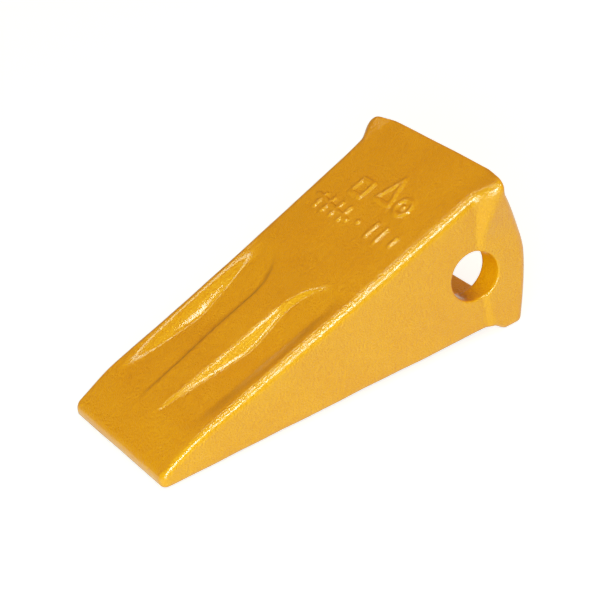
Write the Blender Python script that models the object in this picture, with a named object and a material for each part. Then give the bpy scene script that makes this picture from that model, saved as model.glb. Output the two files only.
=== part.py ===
"""Excavator bucket tooth with the sandwich pin that locks it to its adapter.

The tooth is one hollow casting: a wedge with a socket in its rear end, a cross bore
through both cheeks, a collar round the rear edge and two hollows scooped into its top.
The pin is two half-round steel bars bonded to a rubber core. It is shown started in the
far cheek: it slides along the bore, and its upper bar squeezes down into the rubber.

Lengths are in millimetres until the last step. While a shape is being worked out, x runs
from the top's rear edge towards the tip and z up from the ground. The finished parts are
moved so that the origin is the middle of the flat land at the socket's inner end.
"""

import math

import bmesh
import bpy
from mathutils import Vector

# The wedge
LENGTH = 208.0
REAR_HALF_WIDTH = 49.8
TIP_HALF_WIDTH = 44.8
REAR_TOP = 83.2
TIP_TOP = 11.3
TOP_SAG = 1.25  # how far the top dips below a straight line, halfway along
REAR_BELLY = 2.7  # height of the belly's line at the rear; it reaches the ground at the tip
TOP_EDGE = 4.8  # radius of the long edges between the top and the flanks
TOP_EDGE_AT_TIP = 3.2
TOP_EDGE_FADE = (150.0, 204.0)  # where the radius changes from one to the other
BELLY_EDGE = 2.5
TIP_CORNER = 4.0  # radius of the tip's corners, seen from above
TIP_EDGE = 2.8  # radius of the tip's upper and lower edge
TIP_FALL = 0.195  # the top falls this much more steeply at the tip
TIP_FALL_FROM = 186.0
TIP_FALL_SOFT = 8.0  # half the length over which the steeper part starts

# The collar and the ears at the rear
COLLAR = 1.8  # how far the collar stands proud of a flank
COLLAR_FLARE = 4.9  # what it gains towards the top corners
COLLAR_FRONT = 18.5  # x of the middle of its front slope
COLLAR_SLOPE = 2.0  # half the length of that slope
COLLAR_TOP_SHIFT = 6.0  # the slope moves back by this towards the top
COLLAR_TOP_STRETCH = 4.5  # and its half-length grows by this
COLLAR_TOP_FROM = (48.0, 80.0)  # heights between which these changes come in
LIP = 4.1  # how far the collar hangs below the belly
LIP_FRONT = 13.5  # x of the middle of the lip's front slope
LIP_SLOPE = 4.0
EAR_REACH = 7.6  # how far the ears bulge behind the top's rear edge
EAR_MIDDLE = 38.0  # height of the bulge
EAR_SWEEP_UP = 10.8  # how far the ears' outline runs forward again, up at the top
EAR_SWEEP_DOWN = 6.8  # and down at the ground
EAR_POWER = 1.6
TOP_CORNER_SETBACK = 2.7
BELLY_SETBACK = 6.4  # the belly wall ends this far in front of the top's rear edge
TOP_WALL_FROM = (60.0, 72.0)  # heights over which the cheeks' outline gives way to the top's
BELLY_WALL_FROM = (22.0, 12.0)
TOP_WALL_WITHIN = (48.0, 33.0)  # and distances from the middle over which it does so
BELLY_WALL_WITHIN = (43.0, 33.0)
SHIFT_FADE = 45.0  # the rear outline's curve has died out this far along
RIM_SIDE = 3.5  # radius of the rear rim's outer edge along the flanks
RIM_EDGE = 2.0  # and along the top and the belly
RIM_INNER = 3.0

# The socket for the adapter's nose
SOCKET_DEPTH = 88.0
SOCKET_HALF_WIDTH = 37.0
SOCKET_REAR_TOP = 70.2
SOCKET_REAR_FLOOR = 10.6
SOCKET_END_TOP = 39.0
SOCKET_END_FLOOR = 21.0
SOCKET_TOP_EDGE = 6.0
SOCKET_FLOOR_EDGE = 4.0
SOCKET_END_EDGE = 3.0
SOCKET_PATCH = (0.03, 0.93)  # share of a cheek's height where the bore's patch starts and ends

# The cross bore
BORE_X = 23.5
BORE_Z = 34.9
BORE_RADIUS = 13.3
BORE_EDGE = 1.2
BORE_CELLS = 8  # grid cells along each side of the square patch round the bore
PATCH_REAR = 7.0
PATCH_FRONT = 42.0
PATCH_LOW = 17.4
PATCH_HIGH = 52.4

# The two hollows in the top, mirror images of each other
SCOOP_REAR = 87.0
SCOOP_FRONT = 191.0
SCOOP_DEEPEST = 136.0
SCOOP_REAR_FALL = 0.092  # slope of the floor behind the deepest place
SCOOP_FRONT_RISE = 0.079  # and ahead of it
RIB_WALL = 0.65  # slope of the wall beside the middle rib
RIB_END = 116.0  # behind this, the hollow's edge turns outwards on a quarter ellipse
RIB_HALF_WIDTH = 10.4
RIB_TAPER = 0.03
SCOOP_TURN = (30.0, 34.0)  # half-axes of that ellipse
RIM_CREST = 41.3  # y of the hollow's outer edge
RIM_CREST_TAPER = 0.024
RIM_FOOT = 30.0  # y where the outer wall meets the floor, at the deepest place
RIM_FOOT_REAR = 0.17  # how fast that line runs outwards behind the deepest place
RIM_FOOT_FRONT = 0.09  # and ahead of it

# The grid of the casting's mesh
TOP_COLUMNS = 24
BELLY_COLUMNS = 6
SIDE_ROWS = (2, BORE_CELLS, 3)  # below, beside and above the bore's patch
CORNER_STEPS = 2
LEAST_EDGE = 0.5  # radius that an inset outline's corners keep
BODY_STEP = 6.0

# The locking pin
PIN_RADIUS = 12.35
PIN_LENGTH = 96.0
PIN_CHAMFER = 2.0
PIN_INNER_END = 18.5  # y of the end that is inside the socket
PIN_DROP = 0.6  # the pin lies a little low in the bore
SPLIT = 2.0  # half the gap between the bars when they are squeezed together
SQUEEZE = 1.2
RUBBER_GAP = 0.3
RUBBER_INSET = 2.5
RUBBER_BULGE = 0.8
NOTCH_HALF_LENGTH = 17.0
NOTCH_RAMP = 3.0
NOTCH_DEPTH = 2.4
ARC_STEPS = 22

MM = 0.001
DATUM = Vector((SOCKET_DEPTH, 0.0, (SOCKET_END_TOP + SOCKET_END_FLOOR) / 2))


def mix(a, b, t):
    return a + (b - a) * t


def ease(low, high, value):
    """0 at low, 1 at high, with a smooth S between them; low may be the larger number."""
    t = min(max((value - low) / (high - low), 0.0), 1.0)
    return t * t * (3 - 2 * t)


def rounding(distance, radius):
    """How far a rounded edge has turned in, at this distance from where it ends."""
    if distance >= radius:
        return 0.0
    return radius - math.sqrt(radius**2 - (radius - distance) ** 2)


def tip_fall(x):
    past = x - TIP_FALL_FROM
    if past < -TIP_FALL_SOFT:
        return 0.0
    if past < TIP_FALL_SOFT:
        return TIP_FALL * (past + TIP_FALL_SOFT) ** 2 / (4 * TIP_FALL_SOFT)
    return TIP_FALL * past


def crest(x):
    u = x / LENGTH
    return mix(REAR_TOP, TIP_TOP, u) - TOP_SAG * 4 * u * (1 - u) - tip_fall(x)


def top_edge(x):
    return mix(TOP_EDGE, TOP_EDGE_AT_TIP, ease(*TOP_EDGE_FADE, x))


def belly(x):
    return REAR_BELLY * (1 - x / LENGTH)


def half_width(x):
    return mix(REAR_HALF_WIDTH, TIP_HALF_WIDTH, x / LENGTH)


def rear_shift(y, z):
    """How far the rear outline lies in front of the top's rear edge."""
    height = abs(z - EAR_MIDDLE) / EAR_MIDDLE
    if z > EAR_MIDDLE:
        ear = min(EAR_SWEEP_UP * height**EAR_POWER - EAR_REACH, TOP_CORNER_SETBACK)
        return mix(ear, 0.0, ease(*TOP_WALL_FROM, z) * ease(*TOP_WALL_WITHIN, abs(y)))
    ear = EAR_SWEEP_DOWN * height**EAR_POWER - EAR_REACH
    share = ease(*BELLY_WALL_FROM, z) * ease(*BELLY_WALL_WITHIN, abs(y))
    return mix(ear, BELLY_SETBACK, share)


def shifted(x, y, z):
    fade = max(0.0, 1 - x / SHIFT_FADE) ** 2
    return x + rear_shift(y, z) * fade


def collar(x, z):
    """How far the collar stands out from the flank."""
    towards_top = ease(*COLLAR_TOP_FROM, z)
    front = COLLAR_FRONT - COLLAR_TOP_SHIFT * towards_top
    slope = COLLAR_SLOPE + COLLAR_TOP_STRETCH * towards_top**2
    height = COLLAR + COLLAR_FLARE * towards_top
    return height * (1 - ease(front - slope, front + slope, x))


def scoop(x, y):
    """Depth of the hollows below the top, in plan."""
    y = abs(y)
    floor = min(SCOOP_REAR_FALL * (x - SCOOP_REAR), SCOOP_FRONT_RISE * (SCOOP_FRONT - x))
    if floor <= 0.0:
        return 0.0
    if x > RIB_END:
        from_rib = y - RIB_HALF_WIDTH + RIB_TAPER * (x - RIB_END)
    else:
        along = (RIB_END - x) / SCOOP_TURN[0]
        across = max(0.0, RIB_HALF_WIDTH + SCOOP_TURN[1] - y) / SCOOP_TURN[1]
        from_rib = SCOOP_TURN[1] * (1 - math.hypot(along, across))
    rim = RIM_CREST - RIM_CREST_TAPER * (x - RIB_END)
    ahead = x - SCOOP_DEEPEST
    foot = RIM_FOOT + max(RIM_FOOT_FRONT * ahead, -RIM_FOOT_REAR * ahead)
    return max(0.0, min(floor, RIB_WALL * from_rib, floor * (rim - y) / (rim - foot)))


class Section:
    """A rounded rectangle across the casting, and where its bore patch starts and ends."""

    def __init__(self, width, top, bottom, top_edge, bottom_edge, patch):
        self.width = width
        self.top = top
        self.bottom = bottom
        self.top_edge = top_edge
        self.bottom_edge = bottom_edge
        self.patch = patch

    def inset(self, amount, height_amount=None):
        """The same outline moved in; a negative amount moves it out."""
        rise = amount if height_amount is None else height_amount
        return Section(
            self.width - amount,
            self.top - rise,
            self.bottom + rise,
            max(self.top_edge - rise, LEAST_EDGE),
            max(self.bottom_edge - rise, LEAST_EDGE),
            self.patch,
        )

    def outline(self):
        """(y, z) points: along the top to +Y, down, along the bottom, and up again."""
        right = []
        centre = Vector((self.width - self.top_edge, self.top - self.top_edge))
        for step in range(1, CORNER_STEPS):
            angle = math.radians(90 * (1 - step / CORNER_STEPS))
            right.append(centre + Vector((math.cos(angle), math.sin(angle))) * self.top_edge)
        low = self.bottom + self.bottom_edge
        high = self.top - self.top_edge
        stops = (low, mix(low, high, self.patch[0]), mix(low, high, self.patch[1]), high)
        rows = []
        for part, count in enumerate(SIDE_ROWS):
            for row in range(count):
                rows.append(mix(stops[part], stops[part + 1], row / count))
        rows.append(high)
        right += [Vector((self.width, z)) for z in reversed(rows)]
        centre = Vector((self.width - self.bottom_edge, self.bottom + self.bottom_edge))
        for step in range(1, CORNER_STEPS):
            angle = math.radians(-90 * step / CORNER_STEPS)
            right.append(centre + Vector((math.cos(angle), math.sin(angle))) * self.bottom_edge)
        left = [Vector((-p.x, p.y)) for p in reversed(right)]
        top_run = self.width - self.top_edge
        bottom_run = self.width - self.bottom_edge
        top = [
            Vector((mix(-top_run, top_run, i / TOP_COLUMNS), self.top))
            for i in range(TOP_COLUMNS + 1)
        ]
        bottom = [
            Vector((mix(bottom_run, -bottom_run, i / BELLY_COLUMNS), self.bottom))
            for i in range(BELLY_COLUMNS + 1)
        ]
        return top + right + bottom + left


def patch_shares(low, high):
    """Where the bore's patch lies between the ends of a flank's straight part."""
    return (PATCH_LOW - low) / (high - low), (PATCH_HIGH - low) / (high - low)


def body_section(x):
    lip = LIP * (1 - ease(LIP_FRONT - LIP_SLOPE, LIP_FRONT + LIP_SLOPE, x))
    bottom = belly(x) - lip
    top = crest(x)
    at = min(x, PATCH_FRONT)
    low = belly(at) + BELLY_EDGE
    patch = patch_shares(low, crest(at) - TOP_EDGE)
    section = Section(half_width(x), top, bottom, top_edge(x), BELLY_EDGE, patch)
    from_tip = LENGTH - x
    side = rounding(from_tip, TIP_CORNER) + rounding(x, RIM_SIDE)
    return section.inset(side, rounding(from_tip, TIP_EDGE) + rounding(x, RIM_EDGE))


def socket_section(x):
    along = x / SOCKET_DEPTH
    section = Section(
        SOCKET_HALF_WIDTH,
        mix(SOCKET_REAR_TOP, SOCKET_END_TOP, along),
        mix(SOCKET_REAR_FLOOR, SOCKET_END_FLOOR, along),
        SOCKET_TOP_EDGE,
        SOCKET_FLOOR_EDGE,
        SOCKET_PATCH,
    )
    return section.inset(rounding(SOCKET_DEPTH - x, SOCKET_END_EDGE) - rounding(x, RIM_INNER))


def skin_point(x, y, z):
    """A point of the outer skin: sheared to the rear outline, flared, and scooped."""
    x = shifted(x, y, z)
    width = half_width(x)
    y *= (width + collar(x, z)) / width
    return Vector((x, y, z))


def steps(start, end, count):
    """count positions from start to just short of end."""
    return [mix(start, end, i / count) for i in range(count)]


def edge_steps(radius, count):
    """Distances from a rounded edge's end, where it is fully turned, to where it starts."""
    return [radius * (1 - math.cos(math.radians(90 * i / count))) for i in range(count + 1)]


def add_ring(bm, x, section, outer):
    ring = []
    top_row = range(1, TOP_COLUMNS)
    for index, (y, z) in enumerate(section.outline()):
        if outer:
            point = skin_point(x, y, z)
            if index in top_row:
                point.z -= scoop(point.x, point.y)
        else:
            point = Vector((shifted(x, y, z), y, z))
        ring.append(bm.verts.new(point))
    return ring


def patch_loop(rings, first_row, last_row):
    """The patch's border, from its low rear corner forwards, up, back and down."""
    low = [ring[first_row] for ring in rings]
    front = [rings[-1][row] for row in rows_between(first_row, last_row)]
    high = [ring[last_row] for ring in reversed(rings)]
    rear = [rings[0][row] for row in rows_between(last_row, first_row)]
    return low[:-1] + front[:-1] + high[:-1] + rear[:-1]


def rows_between(first, last):
    step = 1 if last > first else -1
    return list(range(first, last + step, step))


def bore_circle(count, radius):
    """(x, z) points that start at the low rear diagonal and run forwards."""
    turns = [math.radians(225 + 360 * i / count) for i in range(count)]
    return [Vector((BORE_X + radius * math.cos(a), BORE_Z + radius * math.sin(a))) for a in turns]


def join_rings(bm, ring_a, ring_b):
    count = len(ring_a)
    for i in range(count):
        j = (i + 1) % count
        bm.faces.new((ring_a[i], ring_a[j], ring_b[j], ring_b[i]))


def add_bore(bm, outer_loop, inner_loop, side):
    """Join a flank's patch to the cheek's inner face by a bore with rounded rims."""
    count = len(outer_loop)
    mouth = bore_circle(count, BORE_RADIUS + BORE_EDGE)
    rings = [outer_loop]

    def flank_y(p):
        return half_width(p.x) + collar(p.x, p.y)

    def cheek_y(p):
        return SOCKET_HALF_WIDTH

    def blended(loop, share, face_y):
        ring = []
        for vert, target in zip(loop, mouth):
            p = Vector((vert.co.x, vert.co.z)).lerp(target, share)
            ring.append(bm.verts.new((p.x, side * face_y(p), p.y)))
        return ring

    def turned(edge_turn, face_y, inwards):
        turn_in = BORE_EDGE * (1 - math.sin(edge_turn))
        drop = BORE_EDGE * (1 - math.cos(edge_turn)) * inwards
        circle = bore_circle(count, BORE_RADIUS + turn_in)
        return [bm.verts.new((p.x, side * (face_y(p) - drop), p.y)) for p in circle]

    turns = [math.radians(a) for a in (0, 45, 90)]
    rings.append(blended(outer_loop, 0.5, flank_y))
    rings += [turned(a, flank_y, 1) for a in turns]
    rings += [turned(a, cheek_y, -1) for a in reversed(turns)]
    rings.append(blended(inner_loop, 0.5, cheek_y))
    rings.append(inner_loop)
    for ring_a, ring_b in zip(rings, rings[1:]):
        join_rings(bm, ring_a, ring_b)


def casting_mesh():
    bm = bmesh.new()
    patch_stations = steps(PATCH_REAR, PATCH_FRONT, BORE_CELLS) + [PATCH_FRONT]
    body_start = LENGTH - TIP_CORNER
    body_count = round((body_start - PATCH_FRONT) / BODY_STEP)
    outside = [LENGTH - distance for distance in edge_steps(TIP_CORNER, 3)]
    outside += steps(body_start, PATCH_FRONT, body_count)[1:]
    outer_patch = len(outside)
    outside += reversed(patch_stations)
    outside += reversed(edge_steps(RIM_SIDE, 4))
    rings = [add_ring(bm, x, body_section(x), True) for x in outside]
    inner_patch = len(rings) + 3
    inside = edge_steps(RIM_INNER, 2) + patch_stations
    inside += steps(PATCH_FRONT, SOCKET_DEPTH - SOCKET_END_EDGE, 3)[1:]
    inside += [SOCKET_DEPTH - distance for distance in reversed(edge_steps(SOCKET_END_EDGE, 2))]
    rings += [add_ring(bm, x, socket_section(x), False) for x in inside]

    around = len(rings[0])
    top_of_side = TOP_COLUMNS + 1 + (CORNER_STEPS - 1)
    near_high = top_of_side + SIDE_ROWS[2]
    near_low = near_high + BORE_CELLS
    far_low = around - 1 - (near_low - TOP_COLUMNS - 1)
    far_high = around - 1 - (near_high - TOP_COLUMNS - 1)
    outer_rings = range(outer_patch, outer_patch + BORE_CELLS)
    inner_rings = range(inner_patch, inner_patch + BORE_CELLS)

    def in_patch(ring_index, column):
        if ring_index not in outer_rings and ring_index not in inner_rings:
            return False
        return near_high <= column < near_low or far_low <= column < far_high

    for i, (ring_a, ring_b) in enumerate(zip(rings, rings[1:])):
        for j in range(around):
            if not in_patch(i, j):
                k = (j + 1) % around
                bm.faces.new((ring_a[j], ring_a[k], ring_b[k], ring_b[j]))
    bm.faces.new(rings[0])
    bm.faces.new(rings[-1])

    outer = list(reversed(rings[outer_patch : outer_patch + BORE_CELLS + 1]))
    inner = rings[inner_patch : inner_patch + BORE_CELLS + 1]
    for side, low, high in ((1, near_low, near_high), (-1, far_low, far_high)):
        add_bore(bm, patch_loop(outer, low, high), patch_loop(inner, low, high), side)
    return bm


def bar_mesh(upper):
    """A half-round bar along Y, flat side to the rubber. The upper one has the notch."""
    bm = bmesh.new()
    half = PIN_LENGTH / 2
    plain = [(-half, PIN_CHAMFER), (-half + PIN_CHAMFER, 0), (half - PIN_CHAMFER, 0), (half, PIN_CHAMFER)]
    stations = [(y, PIN_RADIUS - chamfer, PIN_RADIUS) for y, chamfer in plain]
    if upper:
        for y in (-1, 1):
            crown = PIN_RADIUS - NOTCH_DEPTH
            stations.append((y * (NOTCH_HALF_LENGTH + NOTCH_RAMP), PIN_RADIUS, PIN_RADIUS))
            stations.append((y * NOTCH_HALF_LENGTH, PIN_RADIUS, crown))
    stations.sort()
    rings = []
    for y, radius, crown in stations:
        start = math.asin(SPLIT / radius)
        ring = []
        for i in range(ARC_STEPS + 1):
            angle = mix(start, math.pi - start, i / ARC_STEPS)
            ring.append(Vector((radius * math.cos(angle), y, min(radius * math.sin(angle), crown))))
        rings.append([bm.verts.new(p) for p in ring])
    for ring_a, ring_b in zip(rings, rings[1:]):
        join_rings(bm, ring_a, ring_b)
    bm.faces.new(rings[0])
    bm.faces.new(rings[-1])
    if not upper:
        bmesh.ops.scale(bm, vec=(1, 1, -1), verts=bm.verts)
    return bm


def rubber_mesh():
    """The rubber slab, a little narrower and shorter than the bars, with a soft bulge."""
    bm = bmesh.new()
    low = -SPLIT + RUBBER_GAP
    high = SPLIT + SQUEEZE - RUBBER_GAP
    width = math.sqrt(PIN_RADIUS**2 - SPLIT**2) - RUBBER_INSET
    half = PIN_LENGTH / 2 - RUBBER_INSET
    profile = [(width, low), (width + RUBBER_BULGE, mix(low, high, 0.5)), (width, high)]
    outline = [(x, z) for x, z in profile] + [(-x, z) for x, z in reversed(profile)]
    rings = [[bm.verts.new((x, y, z)) for x, z in outline] for y in (-half, half)]
    join_rings(bm, rings[0], rings[1])
    bm.faces.new(rings[0])
    bm.faces.new(rings[1])
    return bm


def paint(name, colour, roughness, metallic):
    material = bpy.data.materials.new(name)
    material.use_nodes = True
    shader = material.node_tree.nodes["Principled BSDF"]
    shader.inputs["Base Color"].default_value = (*colour, 1)
    shader.inputs["Roughness"].default_value = roughness
    shader.inputs["Metallic"].default_value = metallic
    return material


def add_part(name, bm, material, parent, smooth_below):
    """Turn a mesh in millimetres into an object in metres under its parent."""
    bmesh.ops.recalc_face_normals(bm, faces=bm.faces)
    bmesh.ops.scale(bm, vec=(MM, MM, MM), verts=bm.verts)
    mesh = bpy.data.meshes.new(name)
    bm.to_mesh(mesh)
    bm.free()
    mesh.shade_smooth()
    mesh.set_sharp_from_angle(angle=math.radians(smooth_below))
    mesh.materials.append(material)
    part = bpy.data.objects.new(name, mesh)
    part.parent = parent
    bpy.context.scene.collection.objects.link(part)
    return part


def add_axis(name, location, parent=None):
    axis = bpy.data.objects.new(name, None)
    axis.location = location
    axis.empty_display_size = 0.02
    axis.parent = parent
    bpy.context.scene.collection.objects.link(axis)
    return axis


def build():
    for old in list(bpy.data.objects):
        bpy.data.objects.remove(old, do_unlink=True)

    yellow = paint("yellow_paint", (0.72, 0.31, 0.012), 0.4, 0.0)
    steel = paint("pin_steel", (0.42, 0.42, 0.43), 0.35, 1.0)
    rubber = paint("pin_rubber", (0.025, 0.025, 0.027), 0.75, 0.0)

    datum = add_axis("tooth_datum", -DATUM * MM)
    add_part("tooth_casting", casting_mesh(), yellow, datum, 30)

    pin_centre = Vector((BORE_X, PIN_INNER_END - PIN_LENGTH / 2, BORE_Z - PIN_DROP))
    slide = add_axis("pin_slide_axis", pin_centre * MM, datum)
    add_part("pin_plain_bar", bar_mesh(False), steel, slide, 30)
    add_part("pin_rubber_core", rubber_mesh(), rubber, slide, 30)
    squeeze = add_axis("pin_squeeze_axis", Vector((0, 0, SQUEEZE * MM)), slide)
    add_part("pin_detent_bar", bar_mesh(True), steel, squeeze, 30)


build()
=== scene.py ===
"""Looks for the excavator bucket tooth: a painted casting and its rubber-cored locking pin.

Lengths are in millimetres while a shape is worked out, with x from the top's rear edge
towards the tip and z up from the ground. Meshes are moved to the frame's datum, the middle
of the flat land at the socket's inner end, and into metres when they are made.
"""

import math

import bmesh
import bpy
import numpy as np
from mathutils import Matrix, Vector


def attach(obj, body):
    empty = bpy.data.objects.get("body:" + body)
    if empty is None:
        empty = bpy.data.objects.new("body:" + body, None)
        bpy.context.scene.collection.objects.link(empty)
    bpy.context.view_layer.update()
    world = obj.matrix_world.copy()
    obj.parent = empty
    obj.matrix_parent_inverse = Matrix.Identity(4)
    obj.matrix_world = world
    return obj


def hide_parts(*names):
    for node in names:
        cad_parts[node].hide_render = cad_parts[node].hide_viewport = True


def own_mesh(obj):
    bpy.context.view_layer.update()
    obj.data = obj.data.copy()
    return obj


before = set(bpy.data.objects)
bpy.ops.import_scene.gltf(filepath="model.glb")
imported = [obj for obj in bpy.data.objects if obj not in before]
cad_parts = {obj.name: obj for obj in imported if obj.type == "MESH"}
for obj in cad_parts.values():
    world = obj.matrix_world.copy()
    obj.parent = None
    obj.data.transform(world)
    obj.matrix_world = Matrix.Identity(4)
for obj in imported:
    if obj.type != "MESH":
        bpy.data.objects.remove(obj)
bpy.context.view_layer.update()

MM = 0.001

# The wedge
LENGTH = 208.0
REAR_HALF_WIDTH = 49.8
TIP_HALF_WIDTH = 44.8
REAR_TOP = 83.2
TIP_TOP = 11.3
TOP_SAG = 1.25
REAR_BELLY = 2.7
TOP_EDGE = 4.8
TOP_EDGE_AT_TIP = 3.2
TOP_EDGE_FADE = (150.0, 204.0)
BELLY_EDGE = 2.5
TIP_CORNER = 4.0
TIP_EDGE = 2.8
TIP_FALL = 0.195
TIP_FALL_FROM = 186.0
TIP_FALL_SOFT = 8.0

# The collar and the ears at the rear
COLLAR = 1.8
COLLAR_FLARE = 4.9
COLLAR_FRONT = 18.5
COLLAR_SLOPE = 2.0
COLLAR_TOP_SHIFT = 6.0
COLLAR_TOP_STRETCH = 4.5
COLLAR_TOP_FROM = (48.0, 80.0)
LIP = 4.1
LIP_FRONT = 13.5
LIP_SLOPE = 4.0
EAR_REACH = 7.6
EAR_MIDDLE = 38.0
EAR_SWEEP_UP = 10.8
EAR_SWEEP_DOWN = 6.8
EAR_POWER = 1.6
TOP_CORNER_SETBACK = 2.7
BELLY_SETBACK = 6.4
TOP_WALL_FROM = (60.0, 72.0)
BELLY_WALL_FROM = (22.0, 12.0)
TOP_WALL_WITHIN = (48.0, 33.0)
BELLY_WALL_WITHIN = (43.0, 33.0)
SHIFT_FADE = 45.0
RIM_SIDE = 3.5
RIM_EDGE = 2.0
RIM_INNER = 3.0

# The socket
SOCKET_DEPTH = 88.0
SOCKET_HALF_WIDTH = 37.0
SOCKET_REAR_TOP = 70.2
SOCKET_REAR_FLOOR = 10.6
SOCKET_END_TOP = 39.0
SOCKET_END_FLOOR = 21.0
SOCKET_TOP_EDGE = 6.0
SOCKET_FLOOR_EDGE = 4.0
SOCKET_END_EDGE = 3.0
SOCKET_PATCH = (0.03, 0.93)

# The cross bore
BORE_X = 23.5
BORE_Z = 34.9
BORE_RADIUS = 13.3
BORE_EDGE = 1.2
PATCH_REAR = 7.0
PATCH_FRONT = 42.0
PATCH_LOW = 17.4
PATCH_HIGH = 52.4

# The two hollows in the top
SCOOP_REAR = 87.0
SCOOP_FRONT = 191.0
SCOOP_REAR_FALL = 0.092
SCOOP_FRONT_RISE = 0.079
SCOOP_TROUGH = 1.0
SCOOP_DEEPEST = 136.0
RIB_WALL = 0.65
RIB_END = 116.0
RIB_HALF_WIDTH = 10.4
RIB_TAPER = 0.03
SCOOP_TURN = (30.0, 34.0)
RIM_CREST = 41.3
RIM_CREST_TAPER = 0.024
RIM_FOOT = 30.0
RIM_FOOT_REAR = 0.17
RIM_FOOT_FRONT = 0.09
RIM_WALL_STRAIGHT = 0.8
RIM_SHARE_WITHIN = (-1.0, 1.5)
SCOOP_FOOT = 0.8  # how softly the walls meet the floor
SCOOP_CREST = 0.6  # and the top

# The raised marks behind the hollows: shapes in one row, tally bars in the next
MARK_HEIGHT = 0.7
STROKE_HALF_WIDTH = 0.85
STROKE_SLOPE = 0.75
SQUARE = ((35.8, -20.4), (45.2, -20.4), (45.2, -11.4), (35.8, -11.4))
TRIANGLE = ((26.5, 3.0), (42.0, -3.0), (42.0, 9.0))
RING_MIDDLE = (39.0, 18.0)
RING_RADIUS = 4.8
TALLY_ROW = 56.6
TALLY_START = -32.0
TALLY_PITCH = 9.2
TALLY = (  # place in pitches and length of each bar; the shortest is a dot
    (0, 8.0),
    (0.8, 8.0),
    (1.6, 8.0),
    (2.4, 8.0),
    (3.7, 0.1),
    (5.0, 8.0),
    (5.9, 8.0),
    (7.0, 4.5),
)
TALLY_STRIKE = (-0.5, 2.9)
STRIKE_LEAN = 2.4

# The skin's grid: pitches are distances between its rings
TOP_COLUMNS = 140
BELLY_COLUMNS = 30
PATCH_ROWS = 40
SIDE_ROWS = (8, PATCH_ROWS, 14)
CORNER_STEPS = 6
OUTER_EDGE_STEPS = 8
SOCKET_EDGE_STEPS = 5
LEAST_EDGE = 0.4
HOLLOWS_PITCH = 1.25
HOLLOWS_REAR = 84.0
BETWEEN_PITCH = 1.1
TALLY_FRONT = 70.0
TALLY_RING_PITCH = 0.55
SHAPES_FRONT = 34.0
SHAPES_RING_PITCH = 0.57
PATCH_PITCH = 0.95
REAR_PITCH = 1.0
SOCKET_PITCH = 3.5
FLANK_SHARES = (0.2, 0.4, 0.6, 0.8)
FLANK_SETTLED = 0.35
MOUTH_TURNS = [math.radians(degrees) for degrees in (0, 18, 36, 54, 72, 90)]
WALL_SHARES = (0.1, 0.3, 0.5, 0.7, 0.9)
CHEEK_SHARES = (0.75, 0.5, 0.25)
RIM_CAP_SHARES = (0.85, 0.65, 0.45, 0.25, 0.08)
TIP_CAP_SHARES = (0.97,)

# Unevenness that the mould leaves in the casting
WAVE_SEED = 11
WAVES = 26
WAVE_LENGTHS = (22.0, 80.0)
WAVE_HEIGHT = 0.09

DATUM = np.array((SOCKET_DEPTH, 0.0, (SOCKET_END_TOP + SOCKET_END_FLOOR) / 2))

# The locking pin. An end is a list of distances from it and how far the sides step in there.
PIN_RADIUS = 12.35
PIN_LENGTH = 96.0
PIN_INNER_END = 18.5
PIN_DROP = 0.6
PIN_CAP_SHARES = (0.85, 0.6, 0.35, 0.12)
SPLIT = 2.0
SQUEEZE = 1.2
BAR_END = (
    (0.0, 2.35),
    (0.12, 2.1),
    (0.4, 1.75),
    (1.0, 1.1),
    (1.6, 0.5),
    (2.0, 0.16),
    (2.4, 0.04),
    (3.0, 0.0),
)
BAR_MIDDLE_FROM = 5.0
BAR_MIDDLE_ROWS = 60
BAR_EDGE = 0.6
BAR_ARC_STEPS = 56
BAR_EDGE_STEPS = 5
BAR_FLAT_STEPS = 10
SPLIT_CHAMFER = 0.5
NOTCH_HALF_LENGTH = 17.0
NOTCH_RAMP = 3.0
NOTCH_DEPTH = 2.4
RUBBER_GAP = 0.3
RUBBER_INSET = 2.5
RUBBER_END = ((0.0, 0.9), (0.15, 0.5), (0.5, 0.18), (1.0, 0.0))
RUBBER_MIDDLE_FROM = 3.0
RUBBER_MIDDLE_ROWS = 40
RUBBER_EDGE_STEPS = 12
RUBBER_FLAT_STEPS = 8
RUBBER_THINS = 0.4  # shares of a step in that its thickness and its bulge lose
RUBBER_BULGE_THINS = 0.5
BULGE = 0.8
BULGE_WAVES = ((0.12, 0.21, 0.0), (0.07, 0.53, 1.0))  # height, turn per mm, start

# Colours, as linear red, green and blue
ENAMEL_DEEP = (0.725, 0.250, 0.0015)
ENAMEL_FULL = (0.760, 0.271, 0.002)
ENAMEL_PALE = (0.790, 0.296, 0.003)
ENAMEL_SPECULAR = (1.0, 0.78, 0.12, 1.0)
EDGE_ZONE = (41.5 * MM, 45.5 * MM)  # from the middle plane; the coat gets rougher across it
STEEL = (0.36, 0.36, 0.37)
STEEL_STAINED = (0.20, 0.175, 0.15)
STEEL_BRIGHT = (0.47, 0.47, 0.48)
RUBBER = (0.018, 0.018, 0.019)
RUBBER_DUSTY = (0.045, 0.043, 0.040)

# The camera, solved from the photo's outline; lengths in millimetres
CAMERA_TURNS = (152.49, 30.80, -10.72)  # azimuth, elevation and roll in degrees
CAMERA_DISTANCE = 1030.53
CAMERA_TARGET = (95.43, 0.0, 34.05)
FOCAL_PIXELS = 2075.1
FRAME_PIXELS = 600
SENSOR_WIDTH = 36
CLIP_RANGE = (0.05, 50)  # metres

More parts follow.
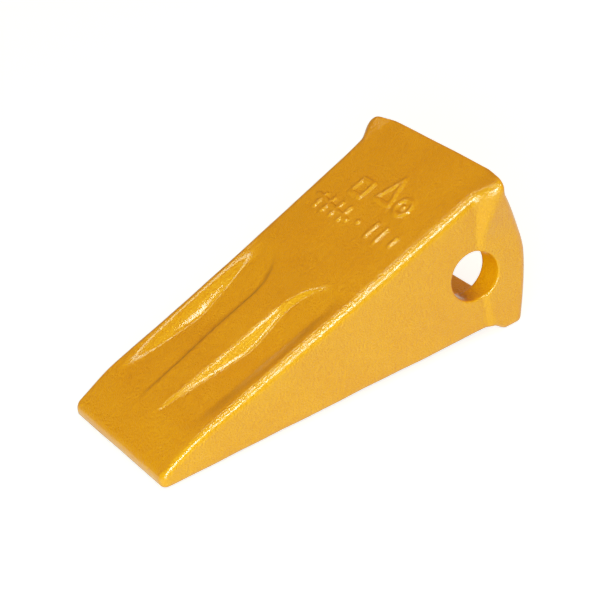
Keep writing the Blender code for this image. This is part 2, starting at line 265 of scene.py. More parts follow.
# The stage, in metres and from the datum
LOWEST_AT = 5.0  # the x, in mm, that gives the lip's height
FLOOR_HALF_SIZE = 6.0
SQUARE_CORNERS = ((-1, -1), (1, -1), (1, 1), (-1, 1))
FLOOR_GREY = (0.5, 0.5, 0.5, 1)
FLOOR_ROUGHNESS = 0.9
FLOOR_GLOW = 1.0
FLOOR_MIRRORED = 0.35
FLOOR_DROP = 0.0003
WORLD_TINT = (1.0, 0.95, 0.87, 1)
WORLD_SEEN = 1.8
WORLD_AMBIENT = 0.31
WORLD_MIRRORED = 0.05
SUN_DIRECTION = (0.55, 0.78, 0.28)
SUN_STRENGTH = 1.95
SUN_SPREAD = 22.0
SUN_TINT = (0.98, 1.16, 0.88)
SOFTBOXES = (  # name, direction, distance, size, power, colour
    ("key_near_tip", (0.75, 0.62, 0.25), 0.9, (0.5, 0.5), 5.3, (0.98, 1.15, 0.88)),
    ("fill", (0.25, 0.45, 0.86), 1.4, (1.2, 1.2), 5.0, (1.08, 0.86, 0.8)),
    ("rear", (-0.9, 0.1, 0.45), 1.4, (1.0, 1.0), 16.0, (1.0, 0.8, 0.4)),
)
GLEAM_DISTANCE = 1.2
GLEAM_TINT = (1.0, 0.88, 0.62)
GLEAMS = (  # name, direction, size, power
    ("long_gleam", (0.15, -0.025, 0.99), (0.4, 0.1), 4.0),
    ("low_gleam", (0.12, -0.57, 0.81), (0.5, 0.08), 1.2),
    ("edge_gleam", (0.13, 0.67, 0.73), (0.5, 0.3), 3.3),
    ("tip_gleam", (0.46, 0.56, 0.72), (0.34, 0.34), 17.0),
    ("rear_gleam", (0.03, 0.60, 0.80), (0.12, 0.3), 8.0),
)
FILM_RESPONSE = ((0.0, 0.0), (0.3, 0.3), (0.74, 0.67), (1.1, 0.85), (1.35, 1.0))
COMBINED_CURVE = 3


def mix(a, b, t):
    return a + (b - a) * t


def ease(low, high, value):
    t = np.clip((value - low) / (high - low), 0.0, 1.0)
    return t * t * (3 - 2 * t)


def rounding(distance, radius):
    """How far a rounded edge of this radius steps in at a distance from its end."""
    gap = np.clip(radius - distance, 0.0, radius)
    return radius - np.sqrt(radius**2 - gap**2)


def soft_min(a, b, width):
    """The lesser of two values, with the corner rounded over this width."""
    h = np.clip(0.5 + 0.5 * (b - a) / width, 0.0, 1.0)
    return mix(b, a, h) - width * h * (1 - h)


def soft_max(a, b, width):
    return -soft_min(-a, -b, width)


def crest(x):
    """Height of the top."""
    u = x / LENGTH
    fall = TIP_FALL * soft_max(x - TIP_FALL_FROM, 0.0, TIP_FALL_SOFT)
    return mix(REAR_TOP, TIP_TOP, u) - TOP_SAG * 4 * u * (1 - u) - fall


def top_edge(x):
    return mix(TOP_EDGE, TOP_EDGE_AT_TIP, ease(*TOP_EDGE_FADE, x))


def belly(x):
    return REAR_BELLY * (1 - x / LENGTH)


def half_width(x):
    return mix(REAR_HALF_WIDTH, TIP_HALF_WIDTH, x / LENGTH)


def rear_shift(y, z):
    """How far the rear rim bends forwards: ears out at the sides, walls back above and below."""
    height = np.abs(z - EAR_MIDDLE) / EAR_MIDDLE
    upper = np.minimum(EAR_SWEEP_UP * height**EAR_POWER - EAR_REACH, TOP_CORNER_SETBACK)
    top_share = ease(*TOP_WALL_FROM, z) * ease(*TOP_WALL_WITHIN, np.abs(y))
    upper = mix(upper, 0.0, top_share)
    lower = EAR_SWEEP_DOWN * height**EAR_POWER - EAR_REACH
    belly_share = ease(*BELLY_WALL_FROM, z) * ease(*BELLY_WALL_WITHIN, np.abs(y))
    lower = mix(lower, BELLY_SETBACK, belly_share)
    return np.where(z > EAR_MIDDLE, upper, lower)


def shifted(x, y, z):
    return x + rear_shift(y, z) * np.maximum(0.0, 1 - x / SHIFT_FADE) ** 2


def collar(x, z):
    """How far the raised band at the rear stands out from the flank."""
    towards_top = ease(*COLLAR_TOP_FROM, z)
    front = COLLAR_FRONT - COLLAR_TOP_SHIFT * towards_top
    slope = COLLAR_SLOPE + COLLAR_TOP_STRETCH * towards_top**2
    height = COLLAR + COLLAR_FLARE * towards_top
    return height * (1 - ease(front - slope, front + slope, x))


def scoop(x, y):
    """Depth of the hollows below the top, in plan, with soft feet and crests."""
    y = np.abs(y)
    fall = SCOOP_REAR_FALL * (x - SCOOP_REAR)
    rise = SCOOP_FRONT_RISE * (SCOOP_FRONT - x)
    floor = np.maximum(soft_min(fall, rise, SCOOP_TROUGH), 0.0)
    straight = y - RIB_HALF_WIDTH + RIB_TAPER * (x - RIB_END)
    along = np.maximum(0.0, RIB_END - x) / SCOOP_TURN[0]
    across = np.maximum(0.0, RIB_HALF_WIDTH + SCOOP_TURN[1] - y) / SCOOP_TURN[1]
    turned = SCOOP_TURN[1] * (1 - np.hypot(along, across))
    from_rib = np.where(x > RIB_END, straight, turned)
    crest_line = RIM_CREST - RIM_CREST_TAPER * (x - RIB_END)
    foot_line = RIM_FOOT + soft_max(
        RIM_FOOT_REAR * (SCOOP_DEEPEST - x), RIM_FOOT_FRONT * (x - SCOOP_DEEPEST), SCOOP_TROUGH
    )
    share = (crest_line - y) / (crest_line - foot_line)
    share = np.clip(share, *RIM_SHARE_WITHIN)
    rim_depth = floor * mix(share**3, share, RIM_WALL_STRAIGHT)
    depth = soft_min(RIB_WALL * from_rib, rim_depth, SCOOP_FOOT)
    depth = soft_min(depth, floor, SCOOP_FOOT)
    return soft_max(depth, 0.0, SCOOP_CREST) * ease(0.0, SCOOP_CREST, floor)


def distance_to_segment(x, y, a, b):
    ax, ay = a
    bx, by = b
    t = ((x - ax) * (bx - ax) + (y - ay) * (by - ay)) / ((bx - ax) ** 2 + (by - ay) ** 2)
    t = np.clip(t, 0.0, 1.0)
    return np.hypot(x - mix(ax, bx, t), y - mix(ay, by, t))


def marks(x, y):
    """Height of the raised marks, in plan."""
    lines = []
    for corners in (SQUARE, TRIANGLE):
        for a, b in zip(corners, corners[1:] + corners[:1]):
            lines.append(distance_to_segment(x, y, a, b))
    from_middle = np.hypot(x - RING_MIDDLE[0], y - RING_MIDDLE[1])
    lines.append(np.abs(from_middle - RING_RADIUS))
    lines.append(from_middle)
    for place, length in TALLY:
        at = TALLY_START + TALLY_PITCH * place
        rear, front = TALLY_ROW - length / 2, TALLY_ROW + length / 2
        lines.append(distance_to_segment(x, y, (rear, at), (front, at)))
    first, last = (TALLY_START + TALLY_PITCH * place for place in TALLY_STRIKE)
    rear, front = TALLY_ROW - STRIKE_LEAN, TALLY_ROW + STRIKE_LEAN
    lines.append(distance_to_segment(x, y, (rear, first), (front, last)))
    distance = np.minimum.reduce(lines)
    return MARK_HEIGHT * (1 - ease(STROKE_HALF_WIDTH, STROKE_HALF_WIDTH + STROKE_SLOPE, distance))


def outline(width, top, bottom, top_edge, bottom_edge, patch):
    """(y, z) columns round a rounded rectangle: over the top to +Y, down, under, and up."""
    turns = [math.radians(90 * (1 - i / CORNER_STEPS)) for i in range(1, CORNER_STEPS)]
    right_y = [width - top_edge + top_edge * math.cos(a) for a in turns]
    right_z = [top - top_edge + top_edge * math.sin(a) for a in turns]
    low = bottom + bottom_edge
    high = top - top_edge
    stops = (low, mix(low, high, patch[0]), mix(low, high, patch[1]), high)
    rows = []
    for part, count in enumerate(SIDE_ROWS):
        rows += [mix(stops[part], stops[part + 1], row / count) for row in range(count)]
    rows.append(high)
    right_y += [width] * len(rows)
    right_z += rows[::-1]
    turns = [math.radians(-90 * i / CORNER_STEPS) for i in range(1, CORNER_STEPS)]
    right_y += [width - bottom_edge + bottom_edge * math.cos(a) for a in turns]
    right_z += [bottom + bottom_edge + bottom_edge * math.sin(a) for a in turns]
    top_run = width - top_edge
    bottom_run = width - bottom_edge
    top_y = list(np.linspace(-top_run, top_run, TOP_COLUMNS + 1))
    bottom_y = list(np.linspace(bottom_run, -bottom_run, BELLY_COLUMNS + 1))
    ys = top_y + right_y + bottom_y + [-y for y in reversed(right_y)]
    zs = [top] * len(top_y) + right_z + [bottom] * len(bottom_y) + right_z[::-1]
    return np.array((ys, zs)).T


def body_outline(x):
    """The casting's outer section, before the collar and the ears."""
    bottom = belly(x) - LIP * (1 - ease(LIP_FRONT - LIP_SLOPE, LIP_FRONT + LIP_SLOPE, x))
    top = crest(x)
    at = min(x, PATCH_FRONT)
    low = belly(at) + BELLY_EDGE
    high = crest(at) - TOP_EDGE
    patch = ((PATCH_LOW - low) / (high - low), (PATCH_HIGH - low) / (high - low))
    side = rounding(LENGTH - x, TIP_CORNER) + rounding(x, RIM_SIDE)
    rise = rounding(LENGTH - x, TIP_EDGE) + rounding(x, RIM_EDGE)
    return outline(
        half_width(x) - side,
        top - rise,
        bottom + rise,
        max(top_edge(x) - rise, LEAST_EDGE),
        max(BELLY_EDGE - rise, LEAST_EDGE),
        patch,
    )


def socket_outline(x):
    along = x / SOCKET_DEPTH
    inset = rounding(SOCKET_DEPTH - x, SOCKET_END_EDGE) - rounding(x, RIM_INNER)
    return outline(
        SOCKET_HALF_WIDTH - inset,
        mix(SOCKET_REAR_TOP, SOCKET_END_TOP, along) - inset,
        mix(SOCKET_REAR_FLOOR, SOCKET_END_FLOOR, along) + inset,
        max(SOCKET_TOP_EDGE - inset, LEAST_EDGE),
        max(SOCKET_FLOOR_EDGE - inset, LEAST_EDGE),
        SOCKET_PATCH,
    )


def skin_points(x, ring):
    """A ring of the outside, with the ears, the collar, the hollows and the marks."""
    y, z = ring.T
    x = shifted(x, y, z)
    y = y * (1 + collar(x, z) / half_width(x))
    top_row = np.zeros(len(ring))
    top_row[1:TOP_COLUMNS] = 1
    z = z + top_row * (marks(x, y) - scoop(x, y))
    return np.stack((x, y, z), axis=1)


def socket_points(x, ring):
    y, z = ring.T
    return np.stack((shifted(x, y, z), y, z), axis=1)


def edge_steps(radius, count):
    """Distances from an end at which a rounded edge gets its rings."""
    return [radius * (1 - math.cos(math.radians(90 * i / count))) for i in range(count + 1)]


def spaced(start, end, pitch):
    """Positions from start, up to but without end, about one pitch apart."""
    count = max(1, round(abs(end - start) / pitch))
    return [mix(start, end, i / count) for i in range(count)]


class Skin:
    """Collects points and faces, ring by ring."""

    def __init__(self):
        self.points = []
        self.faces = []
        self.total = 0

    def add(self, points):
        start = self.total
        self.points.append(np.asarray(points, dtype=float))
        self.total += len(points)
        return np.arange(start, self.total)

    def at(self, indices):
        return np.concatenate(self.points)[indices]

    def join(self, ring_a, ring_b, skip=None):
        following_a = np.roll(ring_a, -1)
        following_b = np.roll(ring_b, -1)
        quads = np.stack((ring_a, following_a, following_b, ring_b), axis=1)
        if skip is not None:
            quads = quads[~skip]
        self.faces += quads.tolist()

    def join_all(self, rings):
        for ring_a, ring_b in zip(rings, rings[1:]):
            self.join(ring_a, ring_b)

    def cap(self, ring, shares, axis):
        """Close an end with rings that shrink towards its middle, but not along the axis."""
        points = self.at(ring)
        middle = points.mean(axis=0)
        rings = [ring]
        for share in shares:
            inner = middle + (points - middle) * share
            inner[:, axis] = points[:, axis]
            rings.append(self.add(inner))
        self.join_all(rings)
        self.faces.append(rings[-1].tolist())

    def shape(self):
        return np.concatenate(self.points), self.faces


def bore_circle(corner_counts, radius):
    """(x, z) points from the low rear diagonal forwards, up, back and down."""
    turns = []
    for side, count in enumerate(corner_counts):
        turns += [math.radians(225 + 90 * (side + i / count)) for i in range(count)]
    turns = np.array(turns)
    return np.stack((BORE_X + radius * np.cos(turns), BORE_Z + radius * np.sin(turns)), axis=1)


def add_bore(skin, outer_loop, inner_loop, side, counts):
    """Rings from the loop in the flank, through the bore, to the loop in the cheek."""

    def flank_y(p):
        return half_width(p[:, 0]) + collar(p[:, 0], p[:, 1])

    def cheek_y(p):
        return np.full(len(p), SOCKET_HALF_WIDTH)

    mouth = bore_circle(counts, BORE_RADIUS + BORE_EDGE)

    def blended(loop, share, face_y):
        points = skin.at(loop)
        p = mix(points[:, (0, 2)], mouth, share)
        start = np.abs(points[:, 1])
        y = mix(start, face_y(p), ease(0.0, FLANK_SETTLED, share))
        return skin.add(np.stack((p[:, 0], side * y, p[:, 1]), axis=1))

    def turned(turn, face_y, inwards):
        p = bore_circle(counts, BORE_RADIUS + BORE_EDGE * (1 - math.sin(turn)))
        y = face_y(p) - BORE_EDGE * (1 - math.cos(turn)) * inwards
        return skin.add(np.stack((p[:, 0], side * y, p[:, 1]), axis=1))

    flank = [blended(outer_loop, share, flank_y) for share in FLANK_SHARES]
    outer_edge = [turned(turn, flank_y, 1) for turn in MOUTH_TURNS]
    inner_edge = [turned(turn, cheek_y, -1) for turn in reversed(MOUTH_TURNS)]
    start, end = skin.at(outer_edge[-1]), skin.at(inner_edge[0])
    wall = [skin.add(mix(start, end, share)) for share in WALL_SHARES]
    cheek = [blended(inner_loop, share, cheek_y) for share in CHEEK_SHARES]
    skin.join_all([outer_loop, *flank, *outer_edge, *wall, *inner_edge, *cheek, inner_loop])


def patch_loop(rings, first_row, last_row):
    """The edge of the gap left for the bore, in the order of bore_circle's points."""
    step = 1 if last_row > first_row else -1
    rows = list(range(first_row, last_row + step, step))
    low = [ring[first_row] for ring in rings]
    front = [rings[-1][row] for row in rows]
    high = [ring[last_row] for ring in reversed(rings)]
    rear = [rings[0][row] for row in reversed(rows)]
    return np.array(low[:-1] + front[:-1] + high[:-1] + rear[:-1])


def casting():
    """Points and faces of the whole skin: tip to rim outside, then rim to socket's end."""
    skin = Skin()
    patch = spaced(PATCH_REAR, SHAPES_FRONT, PATCH_PITCH)
    patch += spaced(SHAPES_FRONT, PATCH_FRONT, SHAPES_RING_PITCH) + [PATCH_FRONT]
    cells = len(patch) - 1
    outside = [LENGTH - d for d in edge_steps(TIP_CORNER, OUTER_EDGE_STEPS)]
    outside += spaced(LENGTH - TIP_CORNER, HOLLOWS_REAR, HOLLOWS_PITCH)[1:]
    outside += spaced(HOLLOWS_REAR, TALLY_FRONT, BETWEEN_PITCH)
    outside += spaced(TALLY_FRONT, PATCH_FRONT, TALLY_RING_PITCH)
    outer_patch = len(outside)
    outside += reversed(patch)
    outside += spaced(PATCH_REAR, RIM_SIDE, REAR_PITCH)[1:]
    outside += reversed(edge_steps(RIM_SIDE, OUTER_EDGE_STEPS))
    rings = [skin.add(skin_points(x, body_outline(x))) for x in outside]
    inside = edge_steps(RIM_INNER, SOCKET_EDGE_STEPS)
    inside += spaced(RIM_INNER, PATCH_REAR, REAR_PITCH)[1:]
    inner_patch = len(rings) + len(inside)
    inside += patch
    inside += spaced(PATCH_FRONT, SOCKET_DEPTH - SOCKET_END_EDGE, SOCKET_PITCH)[1:]
    inside += [SOCKET_DEPTH - d for d in reversed(edge_steps(SOCKET_END_EDGE, SOCKET_EDGE_STEPS))]
    rings += [skin.add(socket_points(x, socket_outline(x))) for x in inside]

    around = len(rings[0])
    near_high = TOP_COLUMNS + CORNER_STEPS + SIDE_ROWS[2]
    near_low = near_high + PATCH_ROWS
    far_low = around - (near_low - TOP_COLUMNS)
    far_high = around - (near_high - TOP_COLUMNS)
    gap = np.zeros(around, dtype=bool)
    gap[near_high:near_low] = True
    gap[far_low:far_high] = True
    for i, (ring_a, ring_b) in enumerate(zip(rings, rings[1:])):
        cut = any(first <= i < first + cells for first in (outer_patch, inner_patch))
        skin.join(ring_a, ring_b, gap if cut else None)
    outer = rings[outer_patch : outer_patch + cells + 1][::-1]
    inner = rings[inner_patch : inner_patch + cells + 1]
    counts = (cells, PATCH_ROWS, cells, PATCH_ROWS)
    for side, low, high in ((1, near_low, near_high), (-1, far_low, far_high)):
        outer_loop, inner_loop = patch_loop(outer, low, high), patch_loop(inner, low, high)
        add_bore(skin, outer_loop, inner_loop, side, counts)
    skin.cap(rings[0], TIP_CAP_SHARES, axis=0)
    skin.cap(rings[-1], RIM_CAP_SHARES, axis=0)
    return skin.shape()


def make_mesh(name, points, faces):
    mesh = bpy.data.meshes.new(name)
    mesh.from_pydata(((points - DATUM) * MM).tolist(), [], faces)
    mesh.update()
    return mesh


def face_outwards(mesh):
    """Turn every face outwards; the mesh is closed, so one flip settles it."""
    bm = bmesh.new()
    bm.from_mesh(mesh)
    bmesh.ops.recalc_face_normals(bm, faces=bm.faces)
    bm.to_mesh(mesh)
    bm.free()


def undulate(mesh):
    """Push the skin in and out along its normals by a slow, seeded wave field."""
    count = len(mesh.vertices)
    points = np.empty(count * 3)
    normals = np.empty(count * 3)
    mesh.vertices.foreach_get("co", points)
    mesh.vertex_normals.foreach_get("vector", normals)
    points = points.reshape(-1, 3)
    normals = normals.reshape(-1, 3)
    draw = np.random.RandomState(WAVE_SEED)
    field = np.zeros(count)
    for _ in range(WAVES):
        heading = draw.normal(size=3)
        heading /= np.linalg.norm(heading)
        length = mix(*WAVE_LENGTHS, draw.uniform()) * MM
        field += np.sin(points @ heading * 2 * math.pi / length + draw.uniform(0, 2 * math.pi))
    field *= WAVE_HEIGHT * MM * math.sqrt(2 / WAVES)
    mesh.vertices.foreach_set("co", (points + normals * field[:, None]).ravel())
    mesh.update()


def add_object(name, mesh, material, body, node):
    mesh.shade_smooth()
    mesh.materials.append(material)
    piece = bpy.data.objects.new(name, mesh)
    bpy.context.scene.collection.objects.link(piece)
    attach(piece, body)
    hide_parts(node)
    return piece


class Nodes:
    """A material's node tree, with short ways to add to it."""

    def __init__(self, name):
        self.material = bpy.data.materials.new(name)
        self.material.use_nodes = True
        self.tree = self.material.node_tree
        self.shader = self.tree.nodes["Principled BSDF"]
        self.place = self.add("ShaderNodeTexCoord").outputs["Object"]

    def add(self, kind, **settings):
        node = self.tree.nodes.new(kind)
        for key, value in settings.items():
            setattr(node, key, value)
        return node

    def link(self, output, target):
        self.tree.links.new(output, target)

    def noise(self, per_mm, detail=2.0, roughness=0.5, stretch=None):
        """A noise with this many cells to the millimetre."""
        node = self.add("ShaderNodeTexNoise")
        node.inputs["Scale"].default_value = per_mm / MM
        node.inputs["Detail"].default_value = detail
        node.inputs["Roughness"].default_value = roughness
        place = self.place
        if stretch:
            mapping = self.add("ShaderNodeMapping")
            mapping.inputs["Scale"].default_value = stretch
            self.link(place, mapping.inputs["Vector"])
            place = mapping.outputs["Vector"]
        self.link(place, node.inputs["Vector"])
        return node.outputs["Fac"]

    def ranged(self, value, source=(0.0, 1.0), result=(0.0, 1.0)):
        """The value eased from one range into another."""
        node = self.add("ShaderNodeMapRange", interpolation_type="SMOOTHSTEP")
        keys = ("From Min", "From Max", "To Min", "To Max")
        for key, number in zip(keys, (*source, *result)):
            node.inputs[key].default_value = number
        self.link(value, node.inputs["Value"])
        return node.outputs["Result"]

    def off_centre(self):
        """Distance from the object's middle plane, in metres."""
        parts = self.add("ShaderNodeSeparateXYZ")
        self.link(self.place, parts.inputs["Vector"])
        node = self.add("ShaderNodeMath", operation="ABSOLUTE")
        self.link(parts.outputs["Y"], node.inputs[0])
        return node.outputs["Value"]

    def product(self, a, b):
        node = self.add("ShaderNodeMath", operation="MULTIPLY")
        self.link(a, node.inputs[0])
        self.link(b, node.inputs[1])
        return node.outputs["Value"]

    def colours(self, factor, low, high):
        node = self.add("ShaderNodeMix", data_type="RGBA")
        self.link(factor, node.inputs[0])
        for socket, colour in ((node.inputs[6], low), (node.inputs[7], high)):
            if isinstance(colour, tuple):
                socket.default_value = (*colour, 1)
            else:
                self.link(colour, socket)
        return node.outputs[2]

    def bump(self, height, depth_mm, normal=None):
        node = self.add("ShaderNodeBump")
        node.inputs["Strength"].default_value = 1.0
        node.inputs["Distance"].default_value = depth_mm * MM
        self.link(height, node.inputs["Height"])
        if normal is not None:
            self.link(normal, node.inputs["Normal"])
        return node.outputs["Normal"]

    def set(self, **values):
        for key, value in values.items():
            socket = self.shader.inputs[key.replace("_", " ")]
            if isinstance(value, bpy.types.NodeSocket):
                self.link(value, socket)
            else:
                socket.default_value = value


def enamel():
    """Glossy yellow enamel, sprayed over a casting with a sandy skin."""
    n = Nodes("yellow_enamel")
    patches = n.ranged(n.noise(0.035, detail=3.0, roughness=0.55), source=(0.35, 0.65))
    mottle = n.ranged(n.noise(0.5, detail=3.0, roughness=0.6), source=(0.38, 0.62))
    base = n.colours(patches, ENAMEL_DEEP, ENAMEL_FULL)
    base = n.colours(n.ranged(mottle, result=(0.0, 0.35)), base, ENAMEL_PALE)
    peel = n.bump(n.noise(0.3), depth_mm=0.3)
    sand = n.bump(n.noise(0.9, detail=3.0, roughness=0.6), depth_mm=0.8, normal=peel)
    on_edges = n.ranged(n.off_centre(), source=EDGE_ZONE, result=(0.35, 1.5))
    film = n.bump(n.product(n.noise(1.3, detail=1.0), on_edges), depth_mm=0.1)
    n.set(
        Base_Color=base,
        Roughness=n.ranged(mottle, result=(0.33, 0.42)),
        Normal=sand,
        Specular_IOR_Level=0.5,
        Specular_Tint=ENAMEL_SPECULAR,
        Coat_Weight=1.0,
        Coat_Roughness=0.1,
        Coat_Normal=film,
    )
    return n.material


def oiled_steel():
    """Heat-treated bar with a thin oily film and faint drawing lines along Y."""
    n = Nodes("oiled_steel")
    lines = n.noise(0.9, detail=3.0, roughness=0.6, stretch=(1.0, 0.03, 1.0))
    stains = n.ranged(n.noise(0.09, detail=4.0, roughness=0.6), source=(0.42, 0.66))
    base = n.colours(stains, STEEL, STEEL_STAINED)
    shine = n.ranged(lines, source=(0.4, 0.62), result=(0.0, 0.5))
    drawn = n.bump(lines, depth_mm=0.03)
    n.set(
        Base_Color=n.colours(shine, base, STEEL_BRIGHT),
        Metallic=1.0,
        Roughness=n.ranged(stains, result=(0.28, 0.5)),
        Normal=n.bump(n.noise(0.8), depth_mm=0.03, normal=drawn),
    )
    return n.material


def black_rubber():
    """Moulded rubber with a grain and grey dust."""
    n = Nodes("black_rubber")
    dust = n.ranged(n.noise(0.12, detail=4.0, roughness=0.6), source=(0.4, 0.7))
    n.set(
        Base_Color=n.colours(dust, RUBBER, RUBBER_DUSTY),
        Roughness=n.ranged(dust, result=(0.55, 0.8)),
        Normal=n.bump(n.noise(1.2, detail=4.0, roughness=0.65), depth_mm=0.07),
    )
    return n.material


def loft_along_y(half, end, middle_from, middle_rows, section_at):
    """A closed solid through the sections (x, z) of its two ends and its plain middle."""
    rows = [(-half + d, inset) for d, inset in end] + [(half - d, inset) for d, inset in end]
    middle = np.linspace(-half + middle_from, half - middle_from, middle_rows)
    rows += [(float(y), 0.0) for y in middle]
    skin = Skin()
    rings = []
    for y, inset in sorted(rows):
        rings.append(skin.add([(x, y, z) for x, z in section_at(y, inset)]))
    skin.join_all(rings)
    skin.cap(rings[0], PIN_CAP_SHARES, axis=1)
    skin.cap(rings[-1], PIN_CAP_SHARES, axis=1)
    return skin.shape()


def half_disc(radius, crown, split):
    """Half-disc outline (x, z) with rounded corners where the arc meets the flat."""
    inner = radius - BAR_EDGE
    flat_centre = split + BAR_EDGE
    start = math.asin(flat_centre / inner)
    half_flat = inner * math.cos(start)
    points = []
    for i in range(BAR_ARC_STEPS + 1):
        a = mix(start, math.pi - start, i / BAR_ARC_STEPS)
        points.append((radius * math.cos(a), min(radius * math.sin(a), crown)))
    for i in range(1, BAR_EDGE_STEPS + 1):
        a = mix(math.pi - start, 1.5 * math.pi, i / BAR_EDGE_STEPS)
        points.append((-half_flat + BAR_EDGE * math.cos(a), flat_centre + BAR_EDGE * math.sin(a)))
    for i in range(1, BAR_FLAT_STEPS):
        points.append((mix(-half_flat, half_flat, i / BAR_FLAT_STEPS), split))
    for i in range(BAR_EDGE_STEPS):
        a = mix(-math.pi / 2, start, i / BAR_EDGE_STEPS)
        points.append((half_flat + BAR_EDGE * math.cos(a), flat_centre + BAR_EDGE * math.sin(a)))
    return points


def bar(upper):
    """A half-round bar of the pin. The upper one has the notch in its crown."""

    def section_at(y, inset):
        notch_share = float(1 - ease(0.0, NOTCH_RAMP, abs(y) - NOTCH_HALF_LENGTH)) * upper
        crown = PIN_RADIUS - NOTCH_DEPTH * notch_share
        return half_disc(PIN_RADIUS - inset, crown, SPLIT + min(inset, SPLIT_CHAMFER))

    half = PIN_LENGTH / 2
    points, faces = loft_along_y(half, BAR_END, BAR_MIDDLE_FROM, BAR_MIDDLE_ROWS, section_at)
    if not upper:
        points[:, 2] *= -1
    return points, faces


def rubber():
    """The core: a slab whose free edges bulge a little, with rounded ends."""
    low = -SPLIT + RUBBER_GAP
    high = SPLIT + SQUEEZE - RUBBER_GAP
    middle = (low + high) / 2
    width = math.sqrt(PIN_RADIUS**2 - SPLIT**2) - RUBBER_INSET

    def section_at(y, inset):
        thick = (high - low) / 2 - inset * RUBBER_THINS
        waves = sum(height * math.sin(y * turn + start) for height, turn, start in BULGE_WAVES)
        bulge = BULGE + waves - inset * RUBBER_BULGE_THINS
        flat = width - inset
        section = []
        for side in (1, -1):
            for i in range(RUBBER_EDGE_STEPS + 1):
                a = math.radians(-90 + 180 * i / RUBBER_EDGE_STEPS)
                z = middle + side * thick * math.sin(a)
                section.append((side * (flat + bulge * math.cos(a)), z))
            for i in range(1, RUBBER_FLAT_STEPS):
                x = side * mix(flat, -flat, i / RUBBER_FLAT_STEPS)
                section.append((x, middle + side * thick))
        return section

    half = PIN_LENGTH / 2 - RUBBER_INSET
    return loft_along_y(half, RUBBER_END, RUBBER_MIDDLE_FROM, RUBBER_MIDDLE_ROWS, section_at)


points, faces = casting()
mesh = make_mesh("tooth_skin", points, faces)
face_outwards(mesh)
undulate(mesh)
add_object("tooth_skin", mesh, enamel(), "tooth", "tooth_casting")

pin_middle = np.array((BORE_X, PIN_INNER_END - PIN_LENGTH / 2, BORE_Z - PIN_DROP))
steel = oiled_steel()
black = black_rubber()
for name, (points, faces), lift, material, body, slot, node in (
    ("pin_lower_half", bar(False), 0.0, steel, "pin", "pin_steel", "pin_plain_bar"),
    ("pin_upper_half", bar(True), SQUEEZE, steel, "detent", "pin_steel", "pin_detent_bar"),
    ("pin_core", rubber(), 0.0, black, "pin", "pin_rubber", "pin_rubber_core"),
):
    mesh = make_mesh(name, points + pin_middle + np.array((0, 0, lift)), faces)
    face_outwards(mesh)
    piece = add_object(name, mesh, material, body, node)
    if node == "pin_rubber_core":
        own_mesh(piece)


def by_ray(tree, base, choices):
    """A strength that is base, unless the ray is of a kind that has its own value."""
    path = tree.nodes.new("ShaderNodeLightPath")
    strength = None
    for ray, value in choices:
        choice = tree.nodes.new("ShaderNodeMix")
        choice.inputs[2].default_value = base
        if strength is not None:
            tree.links.new(strength, choice.inputs[2])
        choice.inputs[3].default_value = value
        tree.links.new(path.outputs[ray], choice.inputs[0])
        strength = choice.outputs[0]
    return strength


def add_floor():
    """A plain floor just under the lips, which looks white without lighting the part."""
    z = (belly(LOWEST_AT) - LIP - DATUM[2]) * MM - FLOOR_DROP
    corners = [(x * FLOOR_HALF_SIZE, y * FLOOR_HALF_SIZE, z) for x, y in SQUARE_CORNERS]
    mesh = bpy.data.meshes.new("floor")
    mesh.from_pydata(corners, [], [(0, 1, 2, 3)])
    material = bpy.data.materials.new("white_floor")
    material.use_nodes = True
    tree = material.node_tree
    shader = tree.nodes["Principled BSDF"]
    shader.inputs["Base Color"].default_value = FLOOR_GREY
    shader.inputs["Roughness"].default_value = FLOOR_ROUGHNESS
    shader.inputs["Emission Color"].default_value = (1, 1, 1, 1)
    glow = by_ray(tree, 0.0, (("Is Glossy Ray", FLOOR_MIRRORED), ("Is Camera Ray", FLOOR_GLOW)))
    tree.links.new(glow, shader.inputs["Emission Strength"])
    mesh.materials.append(material)
    floor = bpy.data.objects.new("floor", mesh)
    bpy.context.scene.collection.objects.link(floor)


def add_light(name, direction, distance, size, power, colour, gleam=False):
    """A rectangular softbox. A gleam is only seen mirrored; the others only light things."""
    data = bpy.data.lights.new(name, "AREA")
    data.shape = "RECTANGLE"
    data.size, data.size_y = size
    data.energy = power
    data.color = colour
    light = bpy.data.objects.new(name, data)
    light.visible_diffuse = not gleam
    light.visible_glossy = gleam
    place = Vector(direction).normalized() * distance
    light.location = place
    light.rotation_euler = place.to_track_quat("Z", "Y").to_euler()
    bpy.context.scene.collection.objects.link(light)


def add_sun(name, direction, strength, spread, colour):
    """A light so large and far away that the whole floor gets the same."""
    data = bpy.data.lights.new(name, "SUN")
    data.energy = strength
    data.angle = math.radians(spread)
    data.color = colour
    light = bpy.data.objects.new(name, data)
    light.rotation_euler = Vector(direction).to_track_quat("Z", "Y").to_euler()
    bpy.context.scene.collection.objects.link(light)


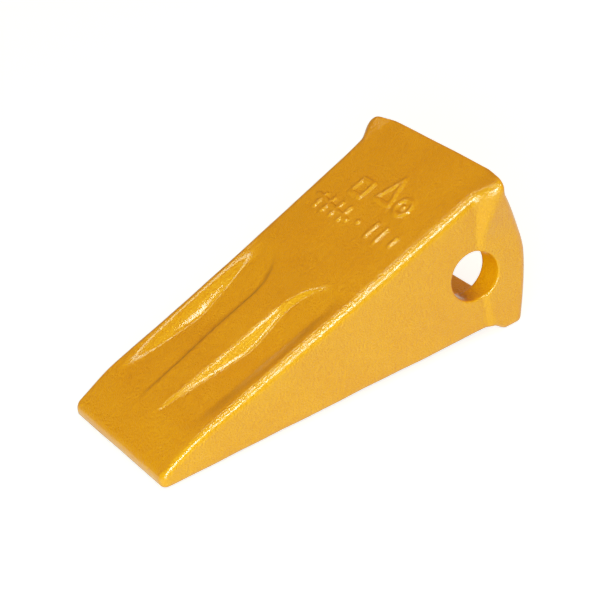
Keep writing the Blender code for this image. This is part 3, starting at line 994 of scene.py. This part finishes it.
def add_camera():
    azimuth, elevation, roll = (math.radians(turn) for turn in CAMERA_TURNS)
    target = (Vector(CAMERA_TARGET) - Vector(DATUM)) * MM
    back = Vector(
        (
            math.sin(azimuth) * math.cos(elevation),
            -math.cos(azimuth) * math.cos(elevation),
            math.sin(elevation),
        )
    )
    level = Vector((math.cos(azimuth), math.sin(azimuth), 0))
    up = back.cross(level)
    right = math.cos(roll) * level + math.sin(roll) * up
    upright = -math.sin(roll) * level + math.cos(roll) * up
    data = bpy.data.cameras.new("camera")
    data.sensor_width = SENSOR_WIDTH
    data.lens = FOCAL_PIXELS / FRAME_PIXELS * SENSOR_WIDTH
    data.clip_start, data.clip_end = CLIP_RANGE
    camera = bpy.data.objects.new("camera", data)
    turn = Matrix((right, upright, back)).transposed().to_4x4()
    turn.translation = target + back * CAMERA_DISTANCE * MM
    camera.matrix_world = turn
    bpy.context.scene.collection.objects.link(camera)
    bpy.context.scene.camera = camera


def add_world():
    """White where the camera looks past the object, dimmer as a source of light."""
    world = bpy.data.worlds.new("studio")
    world.use_nodes = True
    tree = world.node_tree
    behind = tree.nodes["Background"]
    choices = (("Is Glossy Ray", WORLD_MIRRORED), ("Is Camera Ray", WORLD_SEEN))
    strength = by_ray(tree, WORLD_AMBIENT, choices)
    tree.links.new(strength, behind.inputs["Strength"])
    behind.inputs["Color"].default_value = WORLD_TINT
    bpy.context.scene.world = world


def add_film_response():
    """A print-film shoulder: bright colours lean to yellow before they reach white."""
    view = bpy.context.scene.view_settings
    view.view_transform = "Standard"
    view.use_curve_mapping = True
    mapping = view.curve_mapping
    mapping.clip_max_x = FILM_RESPONSE[-1][0]
    curve = mapping.curves[COMBINED_CURVE]
    curve.points[0].location = FILM_RESPONSE[0]
    curve.points[-1].location = FILM_RESPONSE[-1]
    for light, shown in FILM_RESPONSE[1:-1]:
        curve.points.new(light, shown)
    mapping.update()


add_floor()
add_camera()
add_world()
add_sun("key", SUN_DIRECTION, SUN_STRENGTH, SUN_SPREAD, SUN_TINT)
for name, direction, distance, size, power, colour in SOFTBOXES:
    add_light(name, direction, distance, size, power, colour)
for name, direction, size, power in GLEAMS:
    add_light(name, direction, GLEAM_DISTANCE, size, power, GLEAM_TINT, gleam=True)
add_film_response()
